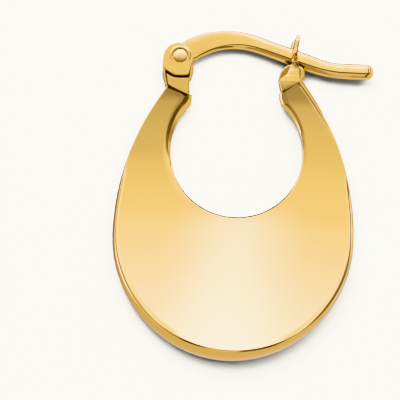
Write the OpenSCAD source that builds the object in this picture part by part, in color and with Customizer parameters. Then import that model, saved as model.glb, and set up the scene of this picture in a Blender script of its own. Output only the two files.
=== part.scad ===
// Oval hinged hoop earring in polished gold, lying on its back on a flat surface.
// Every piece is drawn in the hoop's own frame: X runs across to the post's tip, Y up to
// the post and Z out of the front face, with the origin in the middle of the round opening.
// lie_down() then turns the whole earring onto the points that it rests on.

/* [Hoop body] */
// Radius of the round opening inside the hoop
opening_r = 3.97; // [3.85:0.01:4]
// Radius of the round lower half of the outline
bowl_r = 7.23; // [7.15:0.01:7.3]
// How far the bowl's centre lies below the middle of the opening
bowl_drop = 5.27; // [5.1:0.01:5.4]
// Radius of the long side arcs that lead from the bowl up to the arms
side_r = 15.5; // [15:0.1:16]
// Thickness of the arms at the top, front to back
arm_t = 0.84; // [0.84:0.01:0.9]
// Radius at which the two faces start to flare apart
flare_r = 30; // [26:1:34]
// Angle of each face to the middle plane in the lower half
flare_angle = 8; // [7:0.25:9]
// Thickness of the sheet that the hollow body is made of
sheet_t = 0.2; // [0.15:0.01:0.25]

/* [Hinge] */
// Thickness of each bracket ear
ear_t = 0.28; // [0.26:0.01:0.3]
// Gap between the two ears, where the flattened end of the post turns
ear_gap = 0.5; // [0.48:0.01:0.52]
// Radius of the rounded top of the ears
ear_r = 0.91; // [0.88:0.01:0.94]
// Radius of the rivet's shaft
rivet_r = 0.25; // [0.22:0.01:0.28]
// Radius of the rivet's heads
rivet_head_r = 0.41; // [0.38:0.01:0.44]
// Height of each rivet head above its ear
rivet_head_h = 0.15; // [0.12:0.01:0.18]
// Clearance all round the rivet in the post's eye
turning_gap = 0.04; // [0.03:0.01:0.06]
// Gap all round the rivet in the bracket's ears and under its heads
fit_gap = 0.01; // [0.01:0.005:0.02]

/* [Post] */
// Diameter of the round wire at the post's tip
wire_d = 0.93; // [0.91:0.01:0.96]
// Thickness of the flattened end in the hinge
flat_t = 0.42; // [0.4:0.01:0.44]
// Radius of the rounded end of the post round the rivet
eye_r = 0.61; // [0.56:0.01:0.64]
// Radius of the arch that goes through the ear lobe
arch_r = 4.91; // [4.86:0.01:4.96]
// Length of the straight round end that enters the piercing first
tip_run = 1.27; // [1:0.01:1.4]

/* [Catch] */
// Thickness of the catch's sheet
catch_t = 0.27; // [0.25:0.01:0.3]
// Half of the catch's width over both ears, front to back
catch_half_w = 1.3; // [1.2:0.02:1.36]
// Radius of the rounded end of each ear
catch_ear_r = 0.4; // [0.36:0.01:0.4]
// Height of the ear ends above the centre of the opening
catch_top = 7.14; // [6.9:0.02:7.3]

/* [Hidden] */
$fn = 96;

gold = [0.90, 0.70, 0.32];
pale_gold = [0.94, 0.77, 0.42];
reach = 2 * bowl_r;

// Half of the body's thickness: level at the arms, then a flare that ends straight
arm_half = arm_t / 2;
opening_c = [0, -0.06];
flare_end_y = opening_c.y - opening_r - 0.40;
flare_y = flare_end_y + flare_r * sin(flare_angle);
flare_end_half = arm_half + flare_r * (1 - cos(flare_angle));

// The arms end on two slanted lines, each from its outer corner to its inner corner
left_end = [[-4.60, 3.94], [-2.82, 3.28]];
right_end = [[3.95, 4.68], [2.44, 3.66]];
// Corners where the arms' inner edges leave the round opening
left_lip = [-2.82, 2.74];
right_lip = [[2.48, 3.26], [2.62, 2.90]];
// The hollow ends below these heights, and the arms' ends above them are filled with solder,
// deeper at the hinge than at the catch
hollow_top_left = 1.4;
hollow_top_right = 3.2;

// Hinge: rivet axis, ear centre, and the heights that shape the bracket's foot
hinge = [-3.63, 5.59];
ear_c = [-3.73, 5.46];
ear_low_left = 4.69;
ear_low_right = 4.42;
foot_top = 4.60;
foot_half = 0.40;
tongue_half = 0.32;
foot_wall = 0.20;
stop_top = 5.10;
ear_out = ear_gap / 2 + ear_t;
rivet_half = ear_out + fit_gap + rivet_head_h;

// Post: direction at the rivet, on the straight run and at the tip, and the bend's radius
rise_angle = 41.3;
fall_angle = -17.7;
tip_angle = 0.3;
straight_run = 3.55;
bend_r = 5.96;
wire_r = wire_d / 2;
post_sides = 16;
post_step = 0.33;

// Catch: plane of its ears and the notch that holds the post
catch_x = 3.27;
catch_twist = 4.3;
notch_half = catch_half_w - 2 * catch_ear_r;
notch_low = 5.30;
catch_root_y = 5.15;
catch_low_y = 5.80;
catch_root_half = 1.15;

// Post's half height in the hoop's plane and half thickness across it, along its length
// [distance from the rivet, half height, half thickness]
post_rows = [
    [0.0, eye_r, flat_t / 2],
    [0.9, 0.68, flat_t / 2],
    [1.6, 0.65, 0.24],
    [3.0, 0.56, 0.30],
    [4.3, 0.515, 0.36],
    [5.5, 0.482, 0.40],
    [8.0, 0.480, 0.44],
    [9.5, 0.454, 0.454],
    [10.5, wire_r - 0.015, wire_r - 0.015]
];
half_height = [for (row = post_rows) [row[0], row[1]]];
half_thick = [for (row = post_rows) [row[0], row[2]]];

// The post's centre line: an arch, a straight run, a bend and the straight tip
function arc_length(r, turn) = r * turn * PI / 180;
arch_end = arc_length(arch_r, rise_angle - fall_angle);
bend_start = arch_end + straight_run;
tip_start = bend_start + arc_length(bend_r, tip_angle - fall_angle);
arch_end_p = hinge + arch_r * [sin(rise_angle) - sin(fall_angle), cos(fall_angle) - cos(rise_angle)];
bend_start_p = arch_end_p + straight_run * [cos(fall_angle), sin(fall_angle)];
tip_start_p = bend_start_p
    + bend_r * [sin(tip_angle) - sin(fall_angle), cos(fall_angle) - cos(tip_angle)];

function post_angle(s) =
    s < arch_end ? rise_angle - s / arch_r * 180 / PI
    : s < bend_start ? fall_angle
    : s < tip_start ? fall_angle + (s - bend_start) / bend_r * 180 / PI
    : tip_angle;

function post_point(s) =
    let (a = post_angle(s))
    s < arch_end ? hinge + arch_r * [sin(rise_angle) - sin(a), cos(a) - cos(rise_angle)]
    : s < bend_start ? arch_end_p + (s - arch_end) * [cos(a), sin(a)]
    : s < tip_start ? bend_start_p + bend_r * [sin(a) - sin(fall_angle), cos(fall_angle) - cos(a)]
    : tip_start_p + (s - tip_start) * [cos(a), sin(a)];

// One ring of the post: an oval with flat sides, square to the centre line
function post_ring(s) =
    let (p = post_point(s), a = post_angle(s), h = lookup(s, half_height), t = lookup(s, half_thick))
    [for (k = [0:post_sides - 1])
        let (b = (k + 0.5) * 360 / post_sides, side = sign(sin(b)),
             across = side * (h - t) + t * sin(b) / cos(180 / post_sides),
             out = t * cos(b) / cos(180 / post_sides))
        [p.x - across * sin(a), p.y + across * cos(a), out]];

// Rest on the back: the floor touches the catch's back ear and one point of the wide end's
// back edge, at an angle round the bowl where the earring balances above the two
gravity_c = [0.16, -4.0, 0];
function rim_point(b) =
    let (y = -bowl_drop - bowl_r * cos(b))
    [bowl_r * sin(b), y, -flare_end_half - (flare_end_y - y) * tan(flare_angle)];
function rim_run(b) = [cos(b), sin(b), sin(b) * tan(flare_angle)];
function ear_foot(up) =
    let (side = [cos(catch_twist), 0, -sin(catch_twist)], out = [sin(catch_twist), 0, cos(catch_twist)],
         d = [up.y, up * out] / norm([up.y, up * out]))
    [catch_x, catch_top - catch_ear_r * (1 + d.x), 0]
        - sign(up * side) * catch_t / 2 * side
        - (catch_half_w - catch_ear_r * (1 - d.y)) * out;
function floor_up(b, rounds) =
    rounds == 0 ? [0, 0, 1]
    : let (n = cross(rim_run(b), ear_foot(floor_up(b, rounds - 1)) - rim_point(b)))
      n / norm(n) * sign(n.z);
function off_balance(b) =
    let (up = floor_up(b, 4), foot = ear_foot(up))
    cross(rim_point(b) - foot, up) * (gravity_c - foot);
function balance(low, high, rounds) =
    let (b = (low + high) / 2)
    rounds == 0 ? b : off_balance(b) < 0 ? balance(b, high, rounds - 1) : balance(low, b, rounds - 1);
up = floor_up(balance(-50, 10, 20), 4);
pitch = atan2(up.y, up.z);
roll = atan2(-up.x, norm([up.y, up.z]));
lift = -up * ear_foot(up);

// Where a point of the hoop's frame comes to lie, before the earring is centred
function tipped(p) =
    let (z = p.y * sin(pitch) + p.z * cos(pitch))
    [p.x * cos(roll) + z * sin(roll), p.y * cos(pitch) - p.z * sin(pitch), z * cos(roll) - p.x * sin(roll)];
left_most = tipped([-bowl_r, -bowl_drop, 0]);
right_most = tipped([tip_start_p.x + tip_run + wire_r, tip_start_p.y, 0]);
arch_top = arc_length(arch_r, rise_angle);
top_most = tipped([0, post_point(arch_top).y + lookup(arch_top, half_height), 0]);
low_most = tipped(rim_point(0));
centre = [(left_most.x + right_most.x) / 2, (top_most.y + low_most.y) / 2];

module lie_down() {
    translate([-centre.x, -centre.y, lift]) rotate([pitch, roll, 0]) children();
}

// Outline from the front: the bowl, the two side arcs above it and the round opening
module front_outline(inset) {
    difference() {
        union() {
            intersection() {
                translate([0, -bowl_drop]) circle(r = bowl_r - inset);
                translate([-reach, -bowl_drop - reach]) square([2 * reach, reach]);
            }
            intersection() {
                translate([bowl_r - side_r, -bowl_drop]) circle(r = side_r - inset);
                translate([side_r - bowl_r, -bowl_drop]) circle(r = side_r - inset);
                translate([-reach, -bowl_drop]) square([2 * reach, reach]);
            }
        }
        translate(opening_c) circle(r = opening_r + inset);
    }
}

// The mouth between the arms and everything above their slanted ends
module mouth() {
    polygon([
        left_end[0] + (left_end[0] - left_end[1]), left_end[1], left_lip, [0, 0],
        right_lip[1], right_lip[0], right_end[1], right_end[0] + (right_end[0] - right_end[1]),
        [reach, reach], [-reach, reach]
    ]);
}

// Edge-on outline of the front half, with the hoop's Y along X and its thickness along Y
module side_profile(inset) {
    end_y = flare_y - (flare_r + inset) * sin(flare_angle);
    end_half = arm_half + flare_r - (flare_r + inset) * cos(flare_angle);
    low_half = end_half + (end_y + reach) * tan(flare_angle);
    polygon([[reach, 0], [reach, arm_half - inset], [flare_y, arm_half - inset], [flare_y, 0]]);
    difference() {
        polygon([[flare_y, 0], [flare_y, end_half], [end_y, end_half], [end_y, 0]]);
        translate([flare_y, arm_half + flare_r]) circle(r = flare_r + inset, $fn = 360);
    }
    polygon([[end_y, 0], [end_y, end_half], [-reach, low_half], [-reach, 0]]);
}

// The body's block, or with an inset the hollow inside it
module body_block(inset) {
    intersection() {
        linear_extrude(height = reach, center = true) front_outline(inset);
        rotate([90, 0, 90]) linear_extrude(height = 2 * reach, center = true) {
            side_profile(inset);
            mirror([0, 1]) side_profile(inset);
        }
    }
}

// Hollow oval body: two flared faces, a rim band round the outside and one round the opening
module hoop_body() {
    difference() {
        body_block(0);
        linear_extrude(height = reach, center = true) mouth();
        intersection() {
            body_block(sheet_t);
            union() {
                translate([-reach, hollow_top_left - 2 * reach, -reach]) cube([reach, 2 * reach, 2 * reach]);
                translate([0, hollow_top_right - 2 * reach, -reach]) cube([reach, 2 * reach, 2 * reach]);
            }
        }
    }
}

// Outline of one bracket ear: a round top and a slanted lower edge
module ear_outline() {
    translate(ear_c) intersection() {
        circle(r = ear_r);
        translate([-ear_r, 0]) square([2 * ear_r, ear_r]);
    }
    polygon([
        [ear_c.x - ear_r, ear_c.y], [ear_c.x + ear_r, ear_c.y],
        [ear_c.x + ear_r, ear_low_right], [ear_c.x - ear_r, ear_low_left]
    ]);
}

// Folded hinge bracket: two ears on a channel whose tongue is soldered into the left arm
module hinge_bracket() {
    foot_left = ear_c.x - ear_r + 0.01;
    foot_right = ear_c.x + ear_r + 0.01;
    difference() {
        for (side = [0, 1]) mirror([0, 0, side])
            translate([0, 0, ear_gap / 2]) linear_extrude(height = ear_t) ear_outline();
        translate(hinge) cylinder(r = rivet_r + fit_gap, h = reach, center = true);
    }
    // Channel walls, which narrow down to the arm, with the tongue sunk between them
    difference() {
        linear_extrude(height = 2 * foot_half, center = true) polygon([
            [foot_left, foot_top], [foot_left, 4.35], [-4.54, 4.05], [-4.44, 3.80], [-3.02, 3.20],
            [-3.02, 3.85], [-2.94, 4.15], [foot_right, 4.40], [foot_right, foot_top]
        ]);
        for (side = [0, 1]) mirror([0, 0, side]) translate([0, 0, tongue_half])
            linear_extrude(height = foot_half) polygon([
                [foot_left + foot_wall, ear_low_left], [foot_left + foot_wall, 4.20], [-4.26, 3.84],
                [-3.18, 3.38], [-3.18, 3.85], [foot_right - foot_wall, 4.20],
                [foot_right - foot_wall, ear_low_right]
            ]);
    }
    // Stop that the closed post comes down to
    translate([foot_right - foot_wall, foot_top - foot_wall, -foot_half])
        cube([foot_wall, stop_top - foot_top + foot_wall, 2 * foot_half]);
}

// One ear of the catch from the side, with Y along X: its rounded end and its edge down to the root
module catch_ear() {
    ear_y = catch_top - catch_ear_r;
    translate([ear_y, catch_half_w - catch_ear_r]) circle(r = catch_ear_r);
    polygon([
        [catch_root_y, 0], [catch_root_y, catch_root_half], [catch_low_y, catch_half_w - 0.03],
        [ear_y, catch_half_w], [ear_y, notch_half], [notch_low, notch_half], [notch_low, 0]
    ]);
}

// Catch of folded sheet: a base soldered over the right arm's end and two notched ears
module catch() {
    difference() {
        union() {
            hull() {
                linear_extrude(height = arm_t + 0.06, center = true)
                    polygon([[2.44, 3.60], [2.31, 4.20], [2.29, 4.45], [3.92, 4.66], [3.95, 4.50]]);
                linear_extrude(height = 1.40, center = true)
                    polygon([[2.38, 4.74], [2.60, 5.08], [3.70, 5.08], [3.92, 4.82]]);
                linear_extrude(height = 2 * catch_root_half, center = true)
                    polygon([[2.92, 5.20], [3.02, 5.42], [3.50, 5.42], [3.60, 5.20]]);
            }
            translate([catch_x, 0, 0]) rotate([0, catch_twist, 0]) rotate([90, 0, 90])
                linear_extrude(height = catch_t, center = true) {
                    catch_ear();
                    mirror([0, 1]) catch_ear();
                }
        }
        // Notch: a slot with a round bottom
        translate([0, notch_low + notch_half, 0]) {
            rotate([0, 90, 0]) cylinder(r = notch_half, h = reach);
            translate([0, 0, -notch_half]) cube([reach, reach, 2 * notch_half]);
        }
    }
}

module hoop() {
    color(gold) {
        hoop_body();
        hinge_bracket();
        catch();
    }
}

// Rivet through both ears and the post's eye, with a bevelled head at each end
module hinge_rivet() {
    bevel = rivet_head_h / 3;
    color(pale_gold) translate(hinge) rotate_extrude() polygon([
        [0, -rivet_half], [rivet_head_r - bevel, -rivet_half], [rivet_head_r, bevel - rivet_half],
        [rivet_head_r, -ear_out - fit_gap], [rivet_r, -ear_out - fit_gap],
        [rivet_r, ear_out + fit_gap], [rivet_head_r, ear_out + fit_gap],
        [rivet_head_r, rivet_half - bevel], [rivet_head_r - bevel, rivet_half], [0, rivet_half]
    ]);
}

// Arched part of the post, flat in the hinge and almost round where the tip begins
module post_arch() {
    rings = ceil((tip_start + 0.1) / post_step);
    points = [for (i = [0:rings]) each post_ring((tip_start + 0.1) * i / rings)];
    n = post_sides;
    walls = [for (i = [0:rings - 1], k = [0:n - 1])
        [i * n + k, i * n + (k + 1) % n, (i + 1) * n + (k + 1) % n, (i + 1) * n + k]];
    ends = [[for (k = [n - 1:-1:0]) k], [for (k = [0:n - 1]) rings * n + k]];
    polyhedron(points, concat(walls, ends));
}

// Hinged post: eye round the rivet, arch through the lobe, and a round tip
module ear_post() {
    color(pale_gold) difference() {
        union() {
            post_arch();
            translate(hinge) cylinder(r = eye_r, h = flat_t, center = true);
            translate(tip_start_p) rotate([0, 90, tip_angle]) rotate_extrude() {
                square([wire_r, tip_run]);
                translate([0, tip_run]) intersection() {
                    circle(r = wire_r);
                    square(wire_r);
                }
            }
        }
        translate(hinge) cylinder(r = rivet_r + turning_gap, h = reach, center = true);
    }
}

lie_down() hoop();
lie_down() hinge_rivet();
lie_down() ear_post();
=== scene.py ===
"""Looks of the oval hinged hoop earring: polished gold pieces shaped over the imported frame.

The pieces are modelled in the hoop's own frame, in millimetres: X runs across to the post's tip,
Y up to the post, Z out of the front face. The origin is 0.06 mm above the round opening's middle.
lay_down() then turns each finished piece to where the part lies, in metres.
"""

import math

import bpy
from mathutils import Matrix, Vector


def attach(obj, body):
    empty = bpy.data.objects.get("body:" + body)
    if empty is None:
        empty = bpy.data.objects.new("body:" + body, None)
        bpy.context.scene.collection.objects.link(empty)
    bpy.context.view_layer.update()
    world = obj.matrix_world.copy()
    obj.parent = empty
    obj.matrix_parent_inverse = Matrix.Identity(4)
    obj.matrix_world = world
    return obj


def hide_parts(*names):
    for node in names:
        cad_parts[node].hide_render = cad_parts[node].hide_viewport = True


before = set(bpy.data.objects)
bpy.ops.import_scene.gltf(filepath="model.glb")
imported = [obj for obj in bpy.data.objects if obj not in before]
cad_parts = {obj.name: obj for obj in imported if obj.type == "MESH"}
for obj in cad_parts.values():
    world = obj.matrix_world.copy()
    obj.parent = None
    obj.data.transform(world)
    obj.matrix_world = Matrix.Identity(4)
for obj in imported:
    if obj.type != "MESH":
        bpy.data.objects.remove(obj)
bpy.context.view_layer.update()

# Sizes that the part's source has too, in millimetres and degrees

# Round opening: its middle and radius
OPENING_C = Vector((0.0, -0.06))
OPENING_R = 3.97
# Outline: radius of the bowl, its centre's drop below the origin, radius of the long sides
BOWL_R, BOWL_DROP, SIDE_R = 7.23, 5.27, 15.5
# Half of the arms' thickness
ARM_HALF = 0.42
# Outer and inner corner of each arm's end, and the corners between the arms and the opening
LEFT_END = Vector((-4.60, 3.94)), Vector((-2.82, 3.28))
RIGHT_END = Vector((3.95, 4.68)), Vector((2.44, 3.66))
LEFT_LIP = Vector((-2.82, 2.74))
RIGHT_LIP = Vector((2.62, 2.90)), Vector((2.48, 3.26))
# Rivet's axis, and the bracket ears' centre, radius, gap and thickness
HINGE = Vector((-3.63, 5.59))
EAR_C, EAR_R, EAR_GAP, EAR_T = Vector((-3.73, 5.46)), 0.91, 0.50, 0.28
# Post: the arch's radius, and the direction at the rivet, on the straight run and at the tip
ARCH_R, RISE, FALL, TIP = 4.91, 41.3, -17.7, 0.3
# Length of the straight run, radius of the bend after it and length of the straight tip
STRAIGHT, BEND_R, TIP_RUN = 3.55, 5.96, 1.27
# Radius of the wire and of its flattened eye, and half of the eye's thickness
WIRE_R, EYE_R, FLAT_HALF = 0.465, 0.61, 0.21
# The post along its length: distance from the rivet, half height, half thickness
POST_ROWS = (
    (0.0, EYE_R, FLAT_HALF), (0.9, 0.68, FLAT_HALF), (1.6, 0.65, 0.24), (3.0, 0.56, 0.30),
    (4.3, 0.515, 0.36), (5.5, 0.482, 0.40), (8.0, 0.480, 0.44), (9.5, 0.454, 0.454),
    (10.5, WIRE_R - 0.015, WIRE_R - 0.015),
)
# How far the catch's ears are turned about their height
CATCH_TWIST = 4.3

# How the part lies: turned by pitch about X, then by roll about Y, then moved
PITCH, ROLL = math.radians(-2.0845), math.radians(-2.0413)
SHIFT = Vector((-0.4165, 2.6056, 1.4322))
TURN = (Matrix.Rotation(ROLL, 3, "Y") @ Matrix.Rotation(PITCH, 3, "X")).to_4x4()
TO_ROW = Matrix.Scale(0.001, 4) @ Matrix.Translation(SHIFT) @ TURN


# Modelling helpers

# Points closer than this are one, and edges that turn more than this are rounded, in degrees
MERGE_GAP, ROUND_FROM = 1e-5, 28


def deselect():
    for obj in bpy.context.selected_objects:
        obj.select_set(False)


def only(obj):
    """Selects one object and makes it the active one."""
    deselect()
    obj.select_set(True)
    bpy.context.view_layer.objects.active = obj


def apply_modifier(obj, kind, **settings):
    only(obj)
    modifier = obj.modifiers.new(kind.title(), kind)
    for setting, value in settings.items():
        setattr(modifier, setting, value)
    bpy.ops.object.modifier_apply(modifier=modifier.name)


def edit(obj, *steps):
    """Runs each step in edit mode, with all of the mesh selected before it."""
    only(obj)
    bpy.ops.object.mode_set(mode="EDIT")
    for step in steps:
        bpy.ops.mesh.select_all(action="SELECT")
        step()
    bpy.ops.object.mode_set(mode="OBJECT")


def merge_doubles():
    bpy.ops.mesh.remove_doubles(threshold=MERGE_GAP)


def close_ends():
    bpy.ops.mesh.select_all(action="DESELECT")
    bpy.ops.mesh.select_non_manifold()
    bpy.ops.mesh.fill_holes(sides=0)


def face_outwards():
    bpy.ops.mesh.normals_make_consistent(inside=False)


def tube(name, rows, around, point, ends=True):
    """A grid primitive wrapped into a closed tube: point(u, v) with v running once round."""
    deselect()
    bpy.ops.mesh.primitive_grid_add(x_subdivisions=rows, y_subdivisions=around, size=2)
    obj = bpy.context.object
    obj.name = obj.data.name = name
    for vertex in obj.data.vertices:
        vertex.co = point((vertex.co.x + 1) / 2, (vertex.co.y + 1) / 2)
    edit(obj, merge_doubles)
    if ends:
        edit(obj, close_ends)
    edit(obj, face_outwards)
    return obj


def plate(name, outline, low, high, round_off=0.04, segments=3, tilt=None):
    """A flat sheet piece: a circle primitive moved to the outline, filled, extruded and bevelled."""
    deselect()
    bpy.ops.mesh.primitive_circle_add(vertices=len(outline), radius=1, fill_type="NGON")
    obj = bpy.context.object
    obj.name = obj.data.name = name
    for vertex, corner in zip(obj.data.vertices, outline):
        vertex.co = (corner[0], corner[1], low)
    rise = {"value": (0, 0, high - low)}
    edit(obj, lambda: bpy.ops.mesh.extrude_region_move(TRANSFORM_OT_translate=rise), face_outwards)
    if tilt:
        for vertex in obj.data.vertices:
            vertex.co.z += tilt(*vertex.co)
    apply_modifier(obj, "BEVEL", width=round_off, segments=segments, limit_method="ANGLE",
                   angle_limit=math.radians(ROUND_FROM), harden_normals=False)
    return obj


def mirrored(obj, name):
    """A copy on the back, with its own mesh and its faces turned outwards again."""
    twin = obj.copy()
    twin.data = obj.data.copy()
    bpy.context.collection.objects.link(twin)
    twin.name = twin.data.name = name
    twin.data.transform(Matrix.Scale(-1, 4, Vector((0, 0, 1))))
    twin.data.flip_normals()
    return twin


def dressed(obj, material):
    """Adds a material to a piece, or to a part before it is joined to others."""
    obj.data.materials.append(material)
    return obj


def join(name, *parts):
    only(parts[0])
    for part in parts[1:]:
        part.select_set(True)
    bpy.ops.object.join()
    obj = bpy.context.object
    obj.name = obj.data.name = name
    return obj


def lay_down(obj):
    """Puts a finished piece where it lies, in metres, with its place in its mesh."""
    obj.data.transform(TO_ROW)


# Materials

# The sockets of a Mix node that blends two colours
MIX_FIRST, MIX_SECOND, MIX_RESULT = 6, 7, 2
# Pale gold of the metal where it is seen at a flat angle
EDGE_GOLD = "#EBD7A6"
# The part of the noise's range that changes the gloss, and the share by which it does so
NOISE_LOW, NOISE_HIGH, GLOSS_SPREAD = 0.3, 0.7, 0.3
# A pattern's scale is the number of its waves in a metre
MM_IN_METRE, MICROMETRE = 1000, 1e-6


def linear(code):
    """An sRGB hex colour as linear RGBA."""
    parts = [int(code[i:i + 2], 16) / 255 for i in (1, 3, 5)]
    return [c / 12.92 if c <= 0.04045 else ((c + 0.055) / 1.055) ** 2.4 for c in parts] + [1.0]


def add(tree, kind, inputs=None, **settings):
    """Adds a node with its settings and inputs. Each input is another node's output or a value."""
    node = tree.nodes.new(kind)
    for setting, value in settings.items():
        setattr(node, setting, value)
    for socket, value in (inputs or {}).items():
        if isinstance(value, bpy.types.NodeSocket):
            tree.links.new(value, node.inputs[socket])
        else:
            node.inputs[socket].default_value = value
    return node


def gold(name, colour, deep, rough, wave_mm, wave_um, grain_mm, grain_um):
    """14 carat gold: soft waves from the way it was worked, and the fine grain of its polish.

    Both have a width in millimetres and a height in micrometres. Real grain is only a few
    micrometres wide, too fine to show, so it is drawn 0.05 mm wide or more.
    """
    material = bpy.data.materials.new(name)
    material.use_nodes = True
    tree = material.node_tree
    tree.nodes.clear()
    place = add(tree, "ShaderNodeTexCoord").outputs["Object"]
    wave_scale, grain_scale = MM_IN_METRE / wave_mm, MM_IN_METRE / grain_mm
    waves = add(tree, "ShaderNodeTexNoise",
                {"Vector": place, "Scale": wave_scale, "Detail": 1.0, "Roughness": 0.4}).outputs["Fac"]
    grain = add(tree, "ShaderNodeTexNoise",
                {"Vector": place, "Scale": grain_scale, "Detail": 3.0, "Roughness": 0.6}).outputs["Fac"]
    tint = add(tree, "ShaderNodeMix",
               {"Factor": waves, MIX_FIRST: linear(colour), MIX_SECOND: linear(deep)}, data_type="RGBA")
    gloss = add(tree, "ShaderNodeMapRange",
                {"Value": grain, "From Min": NOISE_LOW, "From Max": NOISE_HIGH,
                 "To Min": rough * (1 - GLOSS_SPREAD), "To Max": rough * (1 + GLOSS_SPREAD)})
    wave_bump = add(tree, "ShaderNodeBump",
                    {"Height": waves, "Strength": 1.0, "Distance": wave_um * MICROMETRE})
    bump = add(tree, "ShaderNodeBump",
               {"Height": grain, "Normal": wave_bump.outputs["Normal"], "Strength": 1.0,
                "Distance": grain_um * MICROMETRE})
    shader = add(tree, "ShaderNodeBsdfPrincipled",
                 {"Base Color": tint.outputs[MIX_RESULT], "Roughness": gloss.outputs["Result"],
                  "Normal": bump.outputs["Normal"], "Metallic": 1.0, "Specular Tint": linear(EDGE_GOLD)})
    add(tree, "ShaderNodeOutputMaterial", {"Surface": shader.outputs["BSDF"]})
    return material


# Mirror bright body with the faint long waves that a buffing wheel leaves
mirror_gold = gold("gold_14ct_mirror_buffed", "#F0CE87", "#EFCB82", 0.05, 4.0, 1.2, 0.08, 0.02)
# Stamped sheet of the bracket and catch, tumbled bright, with softer reflections
tumbled_gold = gold("gold_14ct_stamped_tumbled", "#F0CF8A", "#EDC97E", 0.09, 0.3, 2.6, 0.05, 0.05)
# Drawn wire of the post, polished along its length
wire_gold = gold("gold_14ct_drawn_polished", "#F1CF8A", "#EFCB82", 0.06, 1.5, 0.8, 0.06, 0.03)
# Hammered rivet head, slightly matt
rivet_gold = gold("gold_14ct_hammered_rivet", "#F2D190", "#EDCA82", 0.16, 0.25, 4.0, 0.05, 0.1)
# Painted shade for recesses and gaps: a dark brown, rough gold that stands in for the shade there
recess_shade_gold = gold("gold_14ct_recess_painted_shade", "#5A4020", "#3A2812", 0.5, 0.3, 4.0, 0.05, 0.3)
# Painted shade inside the catch's fold: a browner, duller gold that stands in for the shade there
fold_shade_gold = gold("gold_14ct_fold_painted_shade", "#CDA055", "#B08338", 0.25, 0.3, 2.0, 0.05, 0.1)


# Curves of the front view

def way(angle):
    """A step of 1 in a direction, in degrees."""
    return Vector((math.cos(math.radians(angle)), math.sin(math.radians(angle))))


def angle_of(point, centre):
    return math.degrees(math.atan2(point.y - centre.y, point.x - centre.x))


def arc(centre, radius, start, end, steps):
    """Points on an arc from one angle to another, in degrees."""
    points = []
    for k in range(steps + 1):
        a = math.radians(start + (end - start) * k / steps)
        points.append(Vector((centre[0] + radius * math.cos(a), centre[1] + radius * math.sin(a))))
    return points


def bend(start, corner, end, steps):
    """A curve that rounds a corner from a start to an end."""
    shares = [k / steps for k in range(steps + 1)]
    return [start * (1 - t) ** 2 + corner * 2 * t * (1 - t) + end * t * t for t in shares]


def softened(points, reach, steps=5):
    """A polyline whose corners are each turned into a short curve."""
    out = [points[0]]
    for a, corner, b in zip(points, points[1:], points[2:]):
        out += bend(corner + (a - corner).normalized() * reach, corner,
                    corner + (b - corner).normalized() * reach, steps)
    return out + [points[-1]]


def ramp(x, low, high):
    """0 below low and 1 above high, with a soft rise between them."""
    t = min(max((x - low) / (high - low), 0.0), 1.0)
    return t * t * (3 - 2 * t)


def table(x, rows, column=1):
    """Reads a column at x from rows whose first column falls, with straight lines between them."""
    for row, following in zip(rows, rows[1:]):
        if x >= following[0]:
            share = min(max((row[0] - x) / (row[0] - following[0]), 0.0), 1.0)
            return row[column] + (following[column] - row[column]) * share
    return rows[-1][column]


class Curve:
    """A polyline that is read by its share of the length."""

    def __init__(self, points):
        pairs = zip(points, points[1:])
        self.points = [points[0]] + [b for a, b in pairs if (b - a).length > MERGE_GAP]
        self.at = [0.0]
        for a, b in zip(self.points, self.points[1:]):
            self.at.append(self.at[-1] + (b - a).length)

    def read(self, share):
        s = min(max(share, 0.0), 1.0) * self.at[-1]
        low, high = 0, len(self.at) - 1
        while high - low > 1:
            middle = (low + high) // 2
            low, high = (middle, high) if self.at[middle] <= s else (low, middle)
        t = (s - self.at[low]) / (self.at[high] - self.at[low])
        return self.points[low].lerp(self.points[high], t)

    def normal(self, share, step=0.0015):
        along = (self.read(share + step) - self.read(share - step)).normalized()
        return Vector((along.y, -along.x))


# Steps of the long sides, the bowl and the opening, fine enough to mirror without facets
SIDE_STEPS, BOWL_STEPS, RING_STEPS = 300, 1200, 1500
# How many of the ring's points the rounding of each lip replaces, and how far it reaches
LEFT_CUT, LEFT_REACH = 26, 0.26
RIGHT_CUT, RIGHT_REACH = 10, 0.05

left_c, right_c = Vector((SIDE_R - BOWL_R, -BOWL_DROP)), Vector((BOWL_R - SIDE_R, -BOWL_DROP))
outer = Curve(
    arc(left_c, SIDE_R, angle_of(LEFT_END[0], left_c), 180, SIDE_STEPS)
    + arc((0, -BOWL_DROP), BOWL_R, 180, 360, BOWL_STEPS)[1:]
    + arc(right_c, SIDE_R, 0, angle_of(RIGHT_END[0], right_c), SIDE_STEPS)[1:]
)
lip_start, lip_end = angle_of(LEFT_LIP, OPENING_C), angle_of(RIGHT_LIP[0], OPENING_C) + 360
ring = arc(OPENING_C, OPENING_R, lip_start, lip_end, RING_STEPS)
inner = Curve(
    softened([LEFT_END[1], LEFT_LIP, ring[LEFT_CUT]], LEFT_REACH)[:-1]
    + ring[LEFT_CUT:-RIGHT_CUT]
    + softened([ring[-RIGHT_CUT], *RIGHT_LIP, RIGHT_END[1]], RIGHT_REACH)[1:]
)


# Height of the face

# Tilt of the face by height, in degrees: the stamped flare, eased by hand polishing
TILT = (
    (6.0, -4.5), (3.7, -3.6), (2.8, -1.4), (1.2, -0.4),
    (-0.26, 0.2), (-4.43, 7.2), (-8.4, 8.2), (-13.0, 9.3),
)
# Steps of the height in which the profile is added up
TILT_STEP = 0.02
# Where the face, without its crown, stands out as far as half of the arms' thickness
LEVEL_Y = -0.26
# Crown across the face: its rise, half of its width, and how far the face is sunk under it
CROWN, CROWN_HALF, CROWN_SINK = 0.16, 7.0, 0.135
# Solder fillets where the face meets the tongue and the catch: a point, the way down, rise, reach
FILLETS = (
    (Vector((-3.04, 3.30)), Vector((-0.354, -0.935)), 0.034, 0.36),
    (Vector((2.64, 3.76)), Vector((0.518, -0.855)), 0.018, 0.18),
)
# How far each goes to both sides of its point
FILLET_HALF = 1.9


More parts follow.
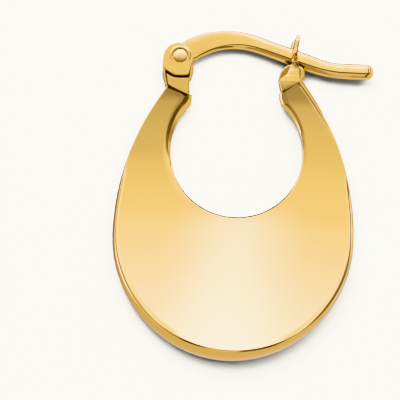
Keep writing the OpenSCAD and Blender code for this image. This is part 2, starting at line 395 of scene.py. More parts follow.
def profile():
    """Height of the face along its middle, from the arms down."""
    (y, _), (bottom, _) = TILT[0], TILT[-1]
    level = round((y - LEVEL_Y) / TILT_STEP)
    heights, z = [], 0.0
    while y > bottom:
        heights.append(z)
        z += TILT_STEP * math.tan(math.radians(table(y, TILT)))
        y -= TILT_STEP
    return [height - heights[level] + ARM_HALF for height in heights]


PROFILE = profile()


def face_height(x, y):
    """The face with its fillets and the slight crown that hand polishing leaves across it."""
    k = min(max((TILT[0][0] - y) / TILT_STEP, 0), len(PROFILE) - 1.001)
    low = int(k)
    z = PROFILE[low] + (PROFILE[low + 1] - PROFILE[low]) * (k - low)
    for place, down, rise, reach in FILLETS:
        away = Vector((x, y)) - place
        if away.length < FILLET_HALF:
            z += rise * max(0.0, 1 - max(away.dot(down), 0.0) / reach) ** 2
    return z + CROWN * (1 - (x / CROWN_HALF) ** 2) - CROWN_SINK


# Body

# Bevels along the edges of the face: height, width, depth
INNER_LEFT = (
    (3.28, 0.16, 0.12), (2.9, 0.24, 0.18), (2.74, 0.27, 0.26), (2.4, 0.29, 0.28), (1.9, 0.27, 0.20),
    (1.2, 0.23, 0.16), (0.6, 0.20, 0.13), (-1.0, 0.10, 0.10), (-2.0, 0.10, 0.15), (-3.6, 0.12, 0.18),
)
INNER_RIGHT = (
    (3.6, 0.12, 0.12), (2.2, 0.14, 0.14), (1.4, 0.10, 0.10), (0.9, 0.03, 0.03), (-1.0, 0.05, 0.07),
    (-2.0, 0.10, 0.15), (-3.6, 0.12, 0.18),
)
OUTER_LEFT = (
    (4.0, 0.03, 0.03), (-0.5, 0.03, 0.03), (-3.0, 0.08, 0.10), (-6.5, 0.08, 0.10),
    (-8.5, 0.10, 0.072), (-12.4, 0.10, 0.066),
)
OUTER_RIGHT = (
    (4.6, 0.19, 0.12), (2.4, 0.17, 0.11), (1.2, 0.04, 0.04), (-1.5, 0.04, 0.04), (-4.0, 0.09, 0.10),
    (-7.0, 0.11, 0.105), (-9.5, 0.11, 0.078), (-12.4, 0.10, 0.068),
)
# Creases pressed into the arms beside the bevels, the outer one on the right only: height, depth
CREASE_INNER_LEFT = ((3.3, 0.094), (2.4, 0.086), (1.4, 0.067), (0.3, 0.045), (-3.2, 0.0))
CREASE_INNER_RIGHT = ((3.6, 0.045), (2.0, 0.042), (0.8, 0.028), (-1.0, 0.0))
CREASE_OUTER = ((4.2, 0.034), (2.6, 0.030), (0.9, 0.0))
# Widths of these creases
INNER_LEFT_WIDTH, INNER_RIGHT_WIDTH, OUTER_WIDTH = 0.52, 0.26, 0.22
# How far the outer band bulges: height, bulge
BULGE_LEFT = ((4.0, 0.02), (-0.5, 0.03), (-3.0, 0.12), (-8.0, 0.12), (-10.5, 0.09), (-12.4, 0.08))
BULGE_RIGHT = ((4.6, 0.02), (-0.5, 0.02), (-3.0, 0.06), (-8.0, 0.08), (-12.4, 0.08))
# How wide and how far the face rolls over beside its outer bevel, on the sides of the bowl only
ROLL_WIDTH, ROLL_DROP = 0.30, 0.038
# Where it starts and is full: by how far the edge faces sideways, and by the way below the origin
ROLL_SIDEWAYS, ROLL_BELOW = (0.35, 0.9), (0.5, 3.0)
# Radii of the bevels' corners: on the face, what its outer edge has more at the sides, on the band
CORNER_R, SIDE_CORNER_R, BAND_CORNER_R = 0.022, 0.02, 0.02
# Where that starts and is full, by how far the edge faces sideways
CORNER_SIDEWAYS = (0.5, 0.9)
# Distances from the bevels of the face's close rows of points
NEAR_INNER = (0.076, 0.133, 0.19, 0.266, 0.342, 0.418, 0.5206)
NEAR_OUTER = (0.345, 0.285, 0.225, 0.18, 0.135, 0.09)
# Distances from both bevels between which the other rows are spread, and their steps
SPREAD_INNER, SPREAD_OUTER, SPREAD_STEPS = 0.62, 0.42, 16
# Steps of half of the outer band, and sections along the body
BAND_STEPS, BODY_ROWS = 5, 360


def rounded(points, reach, steps=4, hold=0.03, most=0.3, most_held=0.45):
    """A section's polyline with its inner corners rounded and a close loop held on each side.

    Neither takes more than its share of the lines beside the corner.
    """
    out = [points[0]]
    for a, corner, b, radius in zip(points, points[1:], points[2:], reach):
        before, after = (a - corner).length, (b - corner).length
        radius = min(radius, most * before, most * after)
        to_a, to_b = (a - corner).normalized(), (b - corner).normalized()
        out.append(corner + to_a * min(radius + hold, most_held * before))
        out += bend(corner + to_a * radius, corner, corner + to_b * radius, steps)
        out.append(corner + to_b * min(radius + hold, most_held * after))
    return out + [points[-1]]


def into_face(share, spread=3, step=0.009, end=0.002):
    """Direction from the inner edge into the face, averaged along the edge so that it turns softly."""
    total = Vector((0, 0))
    for k in range(-spread, spread + 1):
        total += inner.normal(min(max(share + step * k, end), 1 - end))
    return total.normalized()


def raised(point, z):
    return Vector((point.x, point.y, z))


def half_section(share):
    """Front half of the section from the middle of the inner band to the middle of the outer one."""
    left = share < 0.5
    inner_rows, outer_rows = (INNER_LEFT, OUTER_LEFT) if left else (INNER_RIGHT, OUTER_RIGHT)
    inside, outside = inner.read(share), outer.read(share)
    inward = (inside - outside).normalized()
    bulge = table(outside.y, BULGE_LEFT if left else BULGE_RIGHT)
    inner_edge = inside + into_face(share) * table(inside.y, inner_rows)
    outer_edge = outside + inward * (bulge + table(outside.y, outer_rows))
    sideways = abs(outer.normal(share).x)
    roll = ROLL_DROP * ramp(sideways, *ROLL_SIDEWAYS) * ramp(-outside.y, *ROLL_BELOW)
    inner_crease = table(inside.y, CREASE_INNER_LEFT if left else CREASE_INNER_RIGHT)
    outer_crease = 0.0 if left else table(outside.y, CREASE_OUTER)
    inner_width = INNER_LEFT_WIDTH if left else INNER_RIGHT_WIDTH

    def on_face(point):
        from_inner, from_outer = (point - inner_edge).length, (point - outer_edge).length
        z = face_height(*point)
        z -= roll * max(0.0, 1 - from_outer / ROLL_WIDTH) ** 2
        z -= outer_crease * max(0.0, 1 - from_outer / OUTER_WIDTH) ** 2
        z -= inner_crease * max(0.0, 1 - from_inner / inner_width) ** 2
        return raised(point, z)

    along, width = (inner_edge - outer_edge).normalized(), (inner_edge - outer_edge).length
    start, stop = SPREAD_INNER / width, 1 - SPREAD_OUTER / width
    spread = [start + (stop - start) * k / SPREAD_STEPS for k in range(SPREAD_STEPS + 1)]
    face = [on_face(inner_edge - along * near) for near in NEAR_INNER]
    face += [on_face(inner_edge.lerp(outer_edge, t)) for t in spread]
    face += [on_face(outer_edge + along * near) for near in NEAR_OUTER]

    inner_z, outer_z = on_face(inner_edge).z, on_face(outer_edge).z
    inner_band_z = inner_z - table(inside.y, inner_rows, 2)
    outer_band_z = outer_z - table(outside.y, outer_rows, 2)
    band = []
    for k in range(BAND_STEPS, -1, -1):
        p = outside + inward * bulge * (k / BAND_STEPS) ** 2
        band.append(raised(p, outer_band_z * k / BAND_STEPS))
    low = [raised(inside, 0), raised(inside, inner_band_z), raised(inner_edge, inner_z), face[0]]
    high = [face[-1], raised(outer_edge, outer_z), band[0], band[1]]
    side_r = CORNER_R + SIDE_CORNER_R * ramp(sideways, *CORNER_SIDEWAYS)
    return (rounded(low, (CORNER_R, CORNER_R))[:-1] + face
            + rounded(high, (side_r, BAND_CORNER_R))[1:-1] + band[1:])


def body():
    """The hollow oval from arm to arm: every section is a front half and its mirror image."""
    sections = {}

    def point(u, v):
        key = round(u, 6)
        if key not in sections:
            front = half_section(u)
            sections[key] = front + [raised(p, -p.z) for p in reversed(front)][1:-1]
        section = sections[key]
        return section[round(v * len(section)) % len(section)]

    around = len(half_section(0.5)) * 2 - 2
    return tube("hoop_body", BODY_ROWS, around, point)


# Hinge bracket, with its outlines from the front as x and y

# An ear's edge from the foot of its round top, down, along its lower end and up again
EAR_LOWER = (
    (-4.635, 4.93), (-4.50, 4.745), (-4.36, 4.66), (-4.20, 4.565), (-4.05, 4.475), (-3.90, 4.43),
    (-3.50, 4.425), (-3.14, 4.455), (-3.03, 4.60), (-2.93, 5.06), (-2.83, 5.30),
)
FOOT_CORE = (
    (-4.56, 4.80), (-4.56, 4.40), (-4.46, 4.10), (-4.36, 3.78), (-3.04, 3.28), (-3.00, 4.20),
    (-2.90, 4.45), (-2.90, 4.80),
)
TONGUE = (
    (-3.06, 4.30), (-3.12, 4.33), (-3.50, 4.30), (-3.90, 4.31), (-4.20, 4.42), (-4.38, 4.53),
    (-4.42, 4.48), (-4.30, 3.86), (-3.90, 3.66), (-3.40, 3.46), (-3.02, 3.30),
)
WALL_LEFT = (
    (-4.50, 5.05), (-4.63, 5.02), (-4.635, 4.56), (-4.54, 4.23), (-4.46, 4.01), (-4.42, 3.76),
    (-4.30, 3.74), (-4.36, 4.00), (-4.45, 4.42),
)
WALL_RIGHT = (
    (-2.83, 5.42), (-2.80, 4.60), (-2.88, 4.33), (-3.01, 4.18), (-3.02, 3.66), (-2.96, 3.42),
    (-3.06, 3.36), (-3.10, 3.60), (-3.10, 4.25), (-3.02, 4.45), (-2.99, 5.10),
)
# Depths of the core and the front tongue, back and front, and half of the walls' depth
CORE_BACK, CORE_FRONT = -0.22, 0.20
TONGUE_BACK, TONGUE_FRONT = 0.15, 0.385
WALL_HALF = 0.42
# How much the round top of an ear is stretched upwards
EAR_STRETCH = 1.07
# The ear's outside leans back above this height and out below it, by this much a millimetre. It
# is all in front of this depth.
EAR_LEAN_Y, EAR_LEAN, OUTSIDE_Z = 4.4, 0.035, 0.3
# The dished ring round the rivet from the hole out: radius and height
DISH = ((0.40, -0.03), (0.44, -0.012), (0.50, 0.000), (0.56, 0.003), (0.63, -0.003), (0.70, -0.03))
# Its flat back, how deep it is sunk in the ear, and its steps round the rivet
DISH_BACK, DISH_SINK, DISH_ROWS = -0.03, 0.034, 64


def dish(z):
    """The dished ring that the rivet's head has pressed into the ear."""
    last = len(DISH) - 1

    def point(u, v):
        angle, k = 2 * math.pi * u, round(v * 2 * last)
        radius, height = DISH[k] if k <= last else (DISH[2 * last - k][0], DISH_BACK)
        return Vector((HINGE.x + radius * math.cos(angle), HINGE.y + radius * math.sin(angle), z + height))

    return tube("ear_dish", DISH_ROWS, 2 * last, point, ends=False)


def bracket():
    """Two ears on a channel whose tongues are soldered to the left arm."""
    top = [(p.x, EAR_C.y + (p.y - EAR_C.y) * EAR_STRETCH) for p in arc(EAR_C, EAR_R, 0, 180, 28)]
    outside = EAR_GAP / 2 + EAR_T

    def lean(x, y, z):
        return EAR_LEAN * (EAR_LEAN_Y - y) if z > OUTSIDE_Z else 0.0

    front = plate("ear_front", [*top, *EAR_LOWER], EAR_GAP / 2, outside, 0.055, 4, tilt=lean)
    back = mirrored(front, "ear_back")
    front_dish = dish(outside - DISH_SINK)
    core = plate("foot_core", FOOT_CORE, CORE_BACK, CORE_FRONT, 0.03)
    tongue = plate("tongue", TONGUE, TONGUE_BACK, TONGUE_FRONT, 0.035)
    left = plate("wall_left", WALL_LEFT, -WALL_HALF, WALL_HALF)
    right = plate("wall_right", WALL_RIGHT, -WALL_HALF, WALL_HALF)
    bright = [front, back, front_dish, mirrored(front_dish, "ear_dish_back"), tongue,
              mirrored(tongue, "tongue_back"), left, right]
    # The bracket's core in the channel is painted with that dark shade
    return join("hinge_bracket", *[dressed(part, tumbled_gold) for part in bright],
                dressed(core, recess_shade_gold))


# Catch

# The front ear from its tip down: height, half of its width front to back
EAR_TIP = (
    (7.135, 0.07), (7.115, 0.13), (7.07, 0.20), (7.01, 0.26), (6.93, 0.31), (6.84, 0.345), (6.74, 0.36),
)
# Middle of the ear front to back, the sheet's place at the ear's root and its lean over the tip's length
EAR_MIDDLE, EAR_ROOT_X, EAR_ROOT_Y, EAR_LEAN_X, EAR_LENGTH = 0.9, 3.235, 6.40, 0.085, 0.7
# Thickness of the ear, and how it thins at its tip: to this share of it, plus this for each
# millimetre of half width
SHEET_T, TIP_SHARE, TIP_GAIN = 0.27, 0.45, 1.6
# The sheet from the ear's root down over the arm: height, x and z of each edge, thickness
SHEET = (
    (6.40, 3.235, 0.50, 3.315, 1.27, 0.26), (6.10, 3.205, 0.50, 3.285, 1.285, 0.26),
    (5.92, 3.18, 0.50, 3.275, 1.29, 0.25), (5.80, 3.165, 0.50, 3.29, 1.22, 0.22),
    (5.66, 3.15, 0.51, 3.37, 0.88, 0.18), (5.54, 3.12, 0.52, 3.45, 0.69, 0.16),
    (5.40, 3.07, 0.52, 3.52, 0.62, 0.15), (5.28, 3.01, 0.525, 3.55, 0.59, 0.15),
    (5.15, 2.96, 0.53, 3.57, 0.58, 0.15), (5.02, 2.91, 0.535, 3.58, 0.58, 0.16),
    (4.88, 2.86, 0.54, 3.595, 0.58, 0.17), (4.74, 2.78, 0.545, 3.60, 0.58, 0.17),
    (4.64, 2.62, 0.55, 3.61, 0.58, 0.18), (4.56, 2.50, 0.55, 3.61, 0.58, 0.18),
    (4.46, 2.44, 0.555, 3.62, 0.585, 0.18), (4.36, 2.41, 0.56, 3.63, 0.59, 0.18),
    (4.27, 2.42, 0.56, 3.50, 0.585, 0.18), (4.15, 2.44, 0.56, 3.27, 0.58, 0.18),
    (4.00, 2.48, 0.56, 3.06, 0.57, 0.18), (3.87, 2.53, 0.56, 2.87, 0.57, 0.17),
    (3.78, 2.58, 0.56, 2.70, 0.565, 0.16),
)
# Steps between two rows, and points round the sheet's section
SHEET_STEPS, SHEET_AROUND = 3, 32
# Where the section goes over from squared to rounder going down, and over how many millimetres; its
# exponent above that, and what is added to it below
ROUNDER_Y, ROUNDER_OVER, SQUARED, ROUNDER = 5.6, 0.3, 0.4, 0.3
# Outlines from the front as x and y: the filled middle, a sheet painted with the shade inside the fold, a
# thin sheet painted with the dark shade in the seam
CATCH_CORE = (
    (2.37, 4.33), (2.35, 4.50), (2.36, 4.69), (2.43, 4.91), (2.60, 5.18), (2.83, 5.38), (3.04, 5.42),
    (3.45, 5.42), (3.73, 5.30), (3.85, 5.18), (3.92, 4.95), (3.93, 4.66), (3.69, 4.34), (3.355, 4.20),
    (2.91, 3.86), (2.57, 3.74),
)
FOLD = (
    (2.41, 4.52), (2.43, 4.70), (2.50, 4.91), (2.66, 5.13), (2.86, 5.30), (3.02, 5.35), (3.08, 5.10),
    (2.98, 4.70),
)
SEAM = ((3.595, 4.62), (3.645, 4.64), (3.635, 5.12), (3.585, 5.20))
# Depths of the middle, back and front, of the back of the fold and seam, and of their fronts
MIDDLE_BACK, MIDDLE_FRONT = -0.44, 0.40
FOLD_BACK, FOLD_FRONT, SEAM_FRONT = 0.36, 0.45, 0.43
# Faces of the middle that look up by more than this and lie above this height are a recess, painted with its
# dark shade
RECESS_SLOPE, RECESS_Y = 0.55, 4.9
# Heights between which the sheet goes over into the twisted ear
TWIST_LOW, TWIST_HIGH = 5.0, 5.8


def sheet_rows():
    """Fine rows of the catch's sheet from the ear's tip down."""
    lean = math.tan(math.radians(CATCH_TWIST))
    rows = []
    for y, half in EAR_TIP:
        x = EAR_ROOT_X + EAR_LEAN_X * (y - EAR_ROOT_Y) / EAR_LENGTH
        near, far = EAR_MIDDLE - half, EAR_MIDDLE + half
        thick = SHEET_T * min(1, TIP_SHARE + TIP_GAIN * half)
        rows.append((y, x + lean * near, near, x + lean * far, far, thick))
    rows += SHEET
    fine = []
    for row, following in zip(rows, rows[1:]):
        for k in range(SHEET_STEPS):
            fine.append([a + (b - a) * k / SHEET_STEPS for a, b in zip(row, following)])
    return fine + [rows[-1]]


def catch_sheet():
    """One side of the catch: a twisted ear that narrows to a waist and spreads over the arm."""
    rows = sheet_rows()

    def point(u, v):
        y, near_x, near_z, far_x, far_z, thick = rows[round(u * (len(rows) - 1))]
        near, far = Vector((near_x, y, near_z)), Vector((far_x, y, far_z))
        along = (far - near).normalized()
        out = Vector((-along.z, 0, along.x))
        half = (far - near).length / 2
        radius = min(thick / 2, half * 0.98)
        c, s = math.cos(2 * math.pi * v), math.sin(2 * math.pi * v)
        power = SQUARED + ROUNDER * ramp(ROUNDER_Y - y, 0, ROUNDER_OVER)
        flat = (half - radius) * math.copysign(1, c) * min(1, abs(c) * 3)
        end = radius * math.copysign(abs(c) ** power, c)
        depth = thick / 2 * math.copysign(abs(s) ** power, s)
        return (near + far) / 2 + along * (flat + end) + out * depth

    return tube("catch_sheet", len(rows) - 1, SHEET_AROUND, point)


def catch():
    """The folded sheet on the right arm: both sides, the filled middle, and sheets painted with the shade of
    its fold and seam.
    """
    core = plate("catch_core", CATCH_CORE, MIDDLE_BACK, MIDDLE_FRONT, 0.08, 4)
    # Its faces that look up, high on it, are painted with the dark shade of the recess
    dressed(dressed(core, tumbled_gold), recess_shade_gold)
    for face in core.data.polygons:
        if face.normal.y > RECESS_SLOPE and face.center.y > RECESS_Y:
            face.material_index = 1
    # The fold and the seam are thin sheets painted with the shade inside the fold and in the seam's gap
    fold = dressed(plate("catch_fold_shade", FOLD, FOLD_BACK, FOLD_FRONT, 0.03), fold_shade_gold)
    seam = dressed(plate("catch_seam_shade", SEAM, FOLD_BACK, SEAM_FRONT, 0.02), recess_shade_gold)
    front = dressed(catch_sheet(), tumbled_gold)
    back = mirrored(front, "catch_sheet_back")
    # Both ears are turned the same way, so the back one's twist is undone and made again
    lean = math.tan(math.radians(CATCH_TWIST))
    for vertex in back.data.vertices:
        vertex.co.x += 2 * lean * vertex.co.z * ramp(vertex.co.y, TWIST_LOW, TWIST_HIGH)
    return join("catch", core, fold, seam, mirrored(fold, "fold_shade_back"), mirrored(seam, "seam_shade_back"),
                front, back)


# Rivet

SHAFT_R = 0.25
# The head: half of its width and height, its middle above the axis, and how uneven its corners are
HEAD_X, HEAD_Y, HEAD_LIFT, HEAD_UNEVEN = 0.43, 0.40, 0.02, 0.025
# How many corners it has, and the angle of the first
HEAD_CORNERS, HEAD_TURN = 8, 20
# How far the shaft goes beyond the ear, how far the head goes down over it, and how far it stands
# out from it
SHAFT_BEYOND, HEAD_OVERLAP, HEAD_OUT = 0.01, 0.005, 0.13
# How its hammered top leans with the height and the width, and the point where it is level
LEAN_Y, LEAN_X, LEVEL_POINT = 0.06, 0.02, Vector((-3.6, 5.2))


def rivet():
    """A shaft through both ears, with a hammered head at each end: an uneven octagon."""
    half = EAR_GAP / 2 + EAR_T + SHAFT_BEYOND
    deselect()
    bpy.ops.mesh.primitive_cylinder_add(vertices=24, radius=SHAFT_R, depth=2 * half,
                                        location=(HINGE.x, HINGE.y, 0))
    shaft = bpy.context.object
    bpy.ops.object.transform_apply(location=True)
    corners = []
    for k in range(HEAD_CORNERS):
        size = 1.0 + HEAD_UNEVEN * ((k * 5) % 3 - 1)
        a = math.radians(360 / HEAD_CORNERS * k + HEAD_TURN)
        corners.append((HINGE.x + HEAD_X * size * math.cos(a),
                        HINGE.y + HEAD_LIFT + HEAD_Y * size * math.sin(a)))

    def lean(x, y, z):
        return LEAN_Y * (LEVEL_POINT.y - y) + LEAN_X * (x - LEVEL_POINT.x) if z > half else 0.0

    head = plate("rivet_head", corners, half - HEAD_OVERLAP, half + HEAD_OUT, 0.05, 4, tilt=lean)
    return join("hinge_rivet_polished", shaft, head, mirrored(head, "rivet_head_back"))


# Post

# Front half of the wire's section from its top down: drawn round, then dressed with a wide flat
# and a narrow one under it. Each run has how far it faces up at its start and end, in degrees, its
# radius, or its length where it is flat, and its steps.
WIDE_FLAT, NARROW_FLAT = 4, -31
SECTION_RUNS = (
    (90, WIDE_FLAT, 0.55, 9), (WIDE_FLAT, WIDE_FLAT, 0.60, 3), (WIDE_FLAT, NARROW_FLAT, 0.55, 8),
    (NARROW_FLAT, NARROW_FLAT, 0.22, 2), (NARROW_FLAT, -90, 0.44, 8),
)
# How much the wide flat leans back where the wire is higher than it is thick
LEAN_BACK = 0.05
# Distance between two sections, and the steps of the rounded ends
POST_STEP, END_STEPS = 0.12, 10
# The eye's hole, which leaves the rivet a little play
HOLE_R = 0.29


def swing(start, radius, direction, turned):
    """End of an arc that sets out in one direction and ends in another, in degrees. It turns to
    the right, or to the left with a radius below zero."""
    a, b = math.radians(direction), math.radians(turned)
    return start + radius * Vector((math.sin(a) - math.sin(b), math.cos(b) - math.cos(a)))


arch_end = math.radians(RISE - FALL) * ARCH_R
bend_start = arch_end + STRAIGHT
tip_start = bend_start + math.radians(TIP - FALL) * BEND_R
post_end = tip_start + TIP_RUN
arch_end_p = swing(HINGE, ARCH_R, RISE, FALL)
bend_start_p = arch_end_p + STRAIGHT * way(FALL)
tip_start_p = swing(bend_start_p, -BEND_R, FALL, TIP)


def heading(s):
    """Direction of the post at a distance from the rivet."""
    if s < arch_end:
        return RISE - math.degrees(max(s, 0) / ARCH_R)
    if s < bend_start:
        return FALL
    if s < tip_start:
        return FALL + math.degrees((s - bend_start) / BEND_R)
    return TIP


def on_post(s):
    """The post's centre line at a distance from the rivet."""
    if s < 0:
        return HINGE + s * way(RISE)
    if s < arch_end:
        return swing(HINGE, ARCH_R, RISE, heading(s))
    if s < bend_start:
        return arch_end_p + (s - arch_end) * way(FALL)
    if s < tip_start:
        return swing(bend_start_p, -BEND_R, FALL, heading(s))
    return tip_start_p + (s - tip_start) * way(TIP)


def post_size(s):
    """Half height and half thickness of the post."""
    rows = POST_ROWS + ((tip_start + 0.1, WIRE_R, WIRE_R),)
    for (s0, height0, thick0), (s1, height1, thick1) in zip(rows, rows[1:]):
        if s <= s1:
            t = max(s - s0, 0) / (s1 - s0)
            return height0 + (height1 - height0) * t, thick0 + (thick1 - thick0) * t
    return WIRE_R, WIRE_R


def wire_section():
    """Points of the section's front half: height and depth as shares of the half thickness, and
    how a wire that is higher than thick is pulled apart: 1 above the wide flat and -1 below it."""
    points, pulls = [Vector((0.0, 0.0))], [1.0]
    for begin, finish, size, steps in SECTION_RUNS:
        length = size if begin == finish else size * math.radians(begin - finish)
        for k in range(steps):
            lean = math.radians(begin + (finish - begin) * (k + 0.5) / steps)
            points.append(points[-1] + Vector((-math.cos(lean), math.sin(lean))) * (length / steps))
            pulls.append(1 - 2 * (k + 1) / steps if begin == finish == WIDE_FLAT else pulls[-1])
    top, low, drift = points[0].x, points[-1].x, points[-1].y
    heights = [1 - 2 * (top - p.x) / (top - low) for p in points]
    depths = [p.y - drift * (1 - x) / 2 for p, x in zip(points, heights)]
    return [(x, z / max(depths), pull) for x, z, pull in zip(heights, depths, pulls)]


def post():
    """The hinged post: eye round the rivet, arch through the lobe, straight run and round tip."""
    section = wire_section()
    section += [(x, -z, pull) for x, z, pull in reversed(section[1:-1])]
    quarter = [math.radians(90 * k / END_STEPS) for k in range(END_STEPS + 1)]
    stops = [-EYE_R * math.cos(a) for a in quarter[:-1]]
    stops += [POST_STEP * k for k in range(int(post_end / POST_STEP) + 1)]
    stops += [post_end + WIRE_R * math.sin(a) for a in quarter]

    def point(u, v):
        s = stops[round(u * (len(stops) - 1))]
        height, thick = post_size(s)
        if s < 0:
            height = math.sqrt(max(EYE_R ** 2 - s * s, 0))
            thick = min(thick, height + 1e-4)
        if s > post_end:
            height = thick = math.sqrt(max(WIRE_R ** 2 - (s - post_end) ** 2, 0))
        x, z, pull = section[round(v * len(section)) % len(section)]
        p = on_post(s) + way(heading(s) + 90) * (thick * x + (height - thick) * pull)
        return raised(p, z * (thick - LEAN_BACK * max(height - thick, 0) * (pull + 1)))

    obj = tube("ear_post_polished", len(stops) - 1, len(section), point)
    deselect()
    bpy.ops.mesh.primitive_cylinder_add(vertices=32, radius=HOLE_R, depth=2,
                                        location=(HINGE.x, HINGE.y, 0))
    drill = bpy.context.object
    apply_modifier(obj, "BOOLEAN", operation="DIFFERENCE", object=drill, solver="EXACT")
    bpy.data.objects.remove(drill)
    return obj


# Pieces

def finish_piece(obj, angle=32, flat_sheet=False):
    """Smooths a piece up to an angle, keeps the flats of sheet level to the eye, and lays it down."""
    only(obj)
    bpy.ops.object.shade_smooth_by_angle(angle=math.radians(angle))
    if flat_sheet:
        apply_modifier(obj, "WEIGHTED_NORMAL", keep_sharp=True, weight=80)
    lay_down(obj)
    return obj


hoop_body = finish_piece(dressed(body(), mirror_gold), 40)
hinge_bracket = finish_piece(bracket(), flat_sheet=True)
catch_piece = finish_piece(catch(), flat_sheet=True)
rivet_piece = finish_piece(dressed(rivet(), rivet_gold))
post_piece = finish_piece(dressed(post(), wire_gold), 40)
for piece in (hoop_body, hinge_bracket, catch_piece):
    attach(piece, "hoop")
    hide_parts("hoop")
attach(rivet_piece, "hoop")
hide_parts("hinge_rivet")
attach(post_piece, "post")
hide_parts("ear_post")


# Floor: white card, matt, which the gold doesn't mirror

deselect()
bpy.ops.mesh.primitive_plane_add(size=6)
floor = bpy.context.object
floor.name = "floor"
white_card = bpy.data.materials.new("floor_white_card")
white_card.use_nodes = True
card_shader = white_card.node_tree.nodes["Principled BSDF"]
card_shader.inputs["Base Color"].default_value = linear("#F7F5F0")
card_shader.inputs["Roughness"].default_value = 0.9
card_shader.inputs["Specular IOR Level"].default_value = 0.1
floor.data.materials.append(white_card)
floor.visible_glossy = False


# Light tent that the gold mirrors, drawn by angle with nodes

world = bpy.data.worlds.new("light_tent")
bpy.context.scene.world = world
world.use_nodes = True
tent_tree = world.node_tree
tent_tree.nodes.clear()
# The tent doesn't light the floor, which gets its light and shadow from the lamps alone
world.cycles_visibility.diffuse = False


def worked_out(operation, first, *others):
    """The first value with each of the others in turn added to it, taken off it or the like."""
    for other in others:
        node = add(tent_tree, "ShaderNodeMath", {0: first, 1: other}, operation=operation)
        first = node.outputs["Value"]
    return first


def product(*values):
    return worked_out("MULTIPLY", *values)


def largest(*values):
    return worked_out("MAXIMUM", *values)


def rest_of(value):
    """What is left of 1."""
    return worked_out("SUBTRACT", 1.0, value)


def change(value, start, end, low=0.0, high=1.0, form="SMOOTHSTEP"):
    """Low up to the start and high from the end, with a soft or a straight change between them."""
    return add(tent_tree, "ShaderNodeMapRange",
               {"Value": value, "From Min": start, "From Max": end, "To Min": low, "To Max": high},
               interpolation_type=form).outputs["Result"]


def patch(strength, *edges):
    """A card or panel. Each soft edge has its angle, where it has nothing and where it is full."""
    return product(*[change(*edge) for edge in edges], strength)


# Angle round the Y axis from straight up, the same without its sign, and angle towards the post
sky = add(tent_tree, "ShaderNodeTexCoord").outputs["Generated"]
axes = add(tent_tree, "ShaderNodeSeparateXYZ", {"Vector": sky}).outputs
across = product(worked_out("ARCTAN2", axes["X"], axes["Z"]), 180 / math.pi)
side = add(tent_tree, "ShaderNodeMath", {0: across}, operation="ABSOLUTE").outputs["Value"]
lift_radians = add(tent_tree, "ShaderNodeMath", {0: axes["Y"]}, operation="ARCSINE").outputs["Value"]
lift = product(lift_radians, 180 / math.pi)

# Brightness of the tent in front of the gold by the lift, and of the dim room behind it
TENT = (
    (-90, 0.85), (-14, 0.9), (0, 0.42), (7, 0.50), (9.5, 0.74), (12, 0.88),
    (16, 1.08), (19, 1.25), (22, 1.42), (25, 1.60), (90, 1.6),
)
ROOM = ((-90, 0.85), (-45, 0.95), (-4, 0.95), (4, 0.68), (10, 0.45), (60, 0.38), (90, 1.5))
# Brightness at which the ramps' colours are full
TOP = 2.0
# Blue of both in shares of the red, and green, which falls where it is dim to keep the gold warm
TENT_BLUE, ROOM_BLUE = 0.74, 0.92
GREEN, GREEN_FALL, DIM = 0.945, 0.14, 0.9


def cloth(rows, blue):
    """Colour of the tent or the room by the lift, in shares of TOP."""
    share = add(tent_tree, "ShaderNodeMath", {0: lift, 1: 1 / 180, 2: 0.5}, operation="MULTIPLY_ADD")
    node = add(tent_tree, "ShaderNodeValToRGB", {"Fac": share.outputs["Value"]})
    stops = node.color_ramp.elements
    while len(stops) > 1:
        stops.remove(stops[-1])
    for i, (angle, value) in enumerate(rows):
        place = (angle + 90) / 180
        stop = stops[0] if i == 0 else stops.new(place)
        stop.position = place
        green = GREEN - GREEN_FALL * max(0.0, DIM - value)
        stop.color = (value / TOP, green * value / TOP, blue * value / TOP, 1)
    return node.outputs["Color"]


tent = add(tent_tree, "ShaderNodeMix",
           {"Factor": change(side, 100, 135), MIX_FIRST: cloth(TENT, TENT_BLUE),
            MIX_SECOND: cloth(ROOM, ROOM_BLUE)}, data_type="RGBA").outputs[MIX_RESULT]

# Dark cards round the tent
card_right = patch(0.78, (across, 11, 18), (across, 62, 48), (lift, 20, 15))
card_left = patch(0.45, (across, -27, -34), (across, -66, -58), (lift, 45, 35))
card_below = patch(0.2, (across, -140, -160), (lift, -20, 15), (lift, 60, 20))
card_side = patch(0.5, (across, 45, 55), (across, 92, 80), (lift, 10, 18), (lift, 62, 50))
# The one that the creases of the right arm mirror
card_crease = patch(0.85, (across, 15, 20), (across, 44, 36), (lift, 32, 26), (lift, 8, 13))
# The two that the edges under the wide end and beside it mirror
card_low = patch(0.96, (lift, -36, -31), (lift, -3, -8), (side, 30, 20))
card_low_sides = patch(0.96, (lift, -56, -49), (lift, -23, -29), (side, 54, 46), (side, 18, 28))
# A brighter stretch of cloth for the right half of the face
bright_cloth = patch(0.14, (across, 0.5, 4), (lift, -4, 2), (lift, 24, 16))
cards = largest(card_right, card_left, card_below, card_side, card_low, card_low_sides, card_crease)
shade = worked_out("ADD", rest_of(cards), bright_cloth)
dimmed = add(tent_tree, "ShaderNodeVectorMath", {0: tent, "Scale": product(shade, TOP)},
             operation="SCALE").outputs["Vector"]
# The cards are brown, so their mirror images turn the gold brown and not olive
CARD_BROWN, UNCHANGED = (1.1, 0.84, 0.66, 1.0), (1.0, 1.0, 1.0, 1.0)
warm = add(tent_tree, "ShaderNodeMix", {"Factor": shade, MIX_FIRST: CARD_BROWN, MIX_SECOND: UNCHANGED},
           data_type="RGBA").outputs[MIX_RESULT]
shaded = add(tent_tree, "ShaderNodeVectorMath", {0: dimmed, 1: warm}, operation="MULTIPLY").outputs["Vector"]

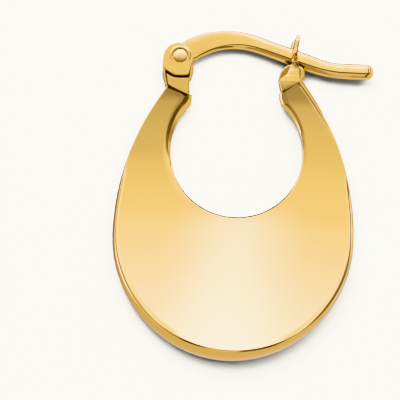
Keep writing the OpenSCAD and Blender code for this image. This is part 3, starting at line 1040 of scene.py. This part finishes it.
# The cool daylight panel that the lower face mirrors: a fan that narrows towards the arms, and a
# softer glow round it
fan_left = change(lift, 25.5, 29.5, 0.0, -1.6, "LINEAR")
fan = product(change(worked_out("SUBTRACT", across, fan_left), -3.4, 1.1), change(across, 5.0, 0.3))
fan_strength = change(lift, 22.5, 30.5, 0.14, 1.2, "LINEAR")
fan_light = product(fan, fan_strength, change(lift, 20, 24), change(lift, 42, 36))
glow = patch(0.96, (lift, 24.8, 31.4), (lift, 42, 36), (side, 34, 12))
panel = worked_out("ADD", fan_light, product(glow, rest_of(fan)))
# Panels behind the post and at the sides, which light the wire's upper side and the bevels
behind = patch(0.85, (lift, 64, 72))
low_left = patch(0.6, (across, -74, -88), (side, 132, 118), (lift, -30, -5), (lift, 66, 50))
low_right = patch(0.21, (across, 78, 92), (side, 132, 118), (lift, -30, -5), (lift, 66, 50))
high_sides = patch(0.4, (side, 6, 14), (side, 30, 24), (lift, 14, 22), (lift, 52, 44))
right_side = patch(0.4, (across, 20, 30), (across, 56, 46), (lift, 18, 25), (lift, 60, 50))
panels = largest(panel, behind, low_left, low_right, high_sides, right_side)
daylight = product(panels, rest_of(card_crease))
DAYLIGHT = (2.15, 2.79, 5.8, 1.0)
tent_light = add(tent_tree, "ShaderNodeMix",
                 {"Factor": daylight, MIX_FIRST: shaded, MIX_SECOND: DAYLIGHT}, data_type="RGBA")
background = add(tent_tree, "ShaderNodeBackground",
                 {"Color": tent_light.outputs[MIX_RESULT], "Strength": 1.0})
add(tent_tree, "ShaderNodeOutputWorld", {"Surface": background.outputs["Background"]})


# Lamps that light the floor and are not mirrored: name, place and size in metres, watts

LAMPS = (
    ("side_lamp", (0.13, 0.12, 0.55), 0.30, 3.3),
    ("key_lamp", (-0.11, 0.13, 0.50), 0.24, 4.7),
    ("wide_panel", (0.0, 0.0, 0.7), 2.4, 5.0),
)
LAMP_COLOUR = (1.0, 0.995, 0.975)

for name, place, size, energy in LAMPS:
    bpy.ops.object.light_add(type="AREA", location=place)
    lamp = bpy.context.object
    lamp.name = name
    lamp.data.shape = "DISK"
    lamp.data.size = size
    lamp.data.energy = energy
    lamp.data.color = LAMP_COLOUR
    lamp.visible_glossy = False
    lamp.rotation_euler = Vector(place).to_track_quat("Z", "Y").to_euler()


# Camera

# It looks at the hoop's face from a little below and to the left, turned by a small angle
BELOW, LEFT, TILTED = math.radians(9.5), math.radians(2.0), -0.041
# Pixels across the picture, where the hoop's origin lies in them, and one's size in millimetres
PIXELS, ORIGIN_U, ORIGIN_V, PIXEL = 400, 236.45, 152.0, 0.06
# Distance and sensor in millimetres: so far away that there is next to no perspective
DISTANCE, SENSOR = 500.0, 36
# Nearest and farthest that it sees, in metres
NEAR_CLIP, FAR_CLIP = 0.01, 10

level_right = Vector((math.cos(LEFT), 0, math.sin(LEFT)))
level_back = Vector((-math.sin(LEFT), 0, math.cos(LEFT)))
level_up = Vector((0, 1, 0)) * math.cos(BELOW) + level_back * math.sin(BELOW)
backwards = level_right.cross(level_up)
right = level_right * math.cos(TILTED) - level_up * math.sin(TILTED)
up = level_right * math.sin(TILTED) + level_up * math.cos(TILTED)
aim = right * (PIXELS / 2 - ORIGIN_U) * PIXEL - up * (PIXELS / 2 - ORIGIN_V) * PIXEL
lens = bpy.data.cameras.new("camera")
lens.sensor_width = SENSOR
lens.lens = SENSOR * DISTANCE / (PIXELS * PIXEL)
lens.clip_start, lens.clip_end = NEAR_CLIP, FAR_CLIP
camera = bpy.data.objects.new("camera", lens)
bpy.context.collection.objects.link(camera)
lying = TURN.to_3x3()
turned = Matrix((lying @ right, lying @ up, lying @ backwards)).transposed().to_4x4()
camera.matrix_world = Matrix.Translation(TO_ROW @ (aim + backwards * DISTANCE)) @ turned
bpy.context.scene.camera = camera
bpy.context.scene.view_settings.view_transform = "Khronos PBR Neutral"
# Light that the gold would throw on the floor as bright spots is left out
bpy.context.scene.cycles.caustics_reflective = False
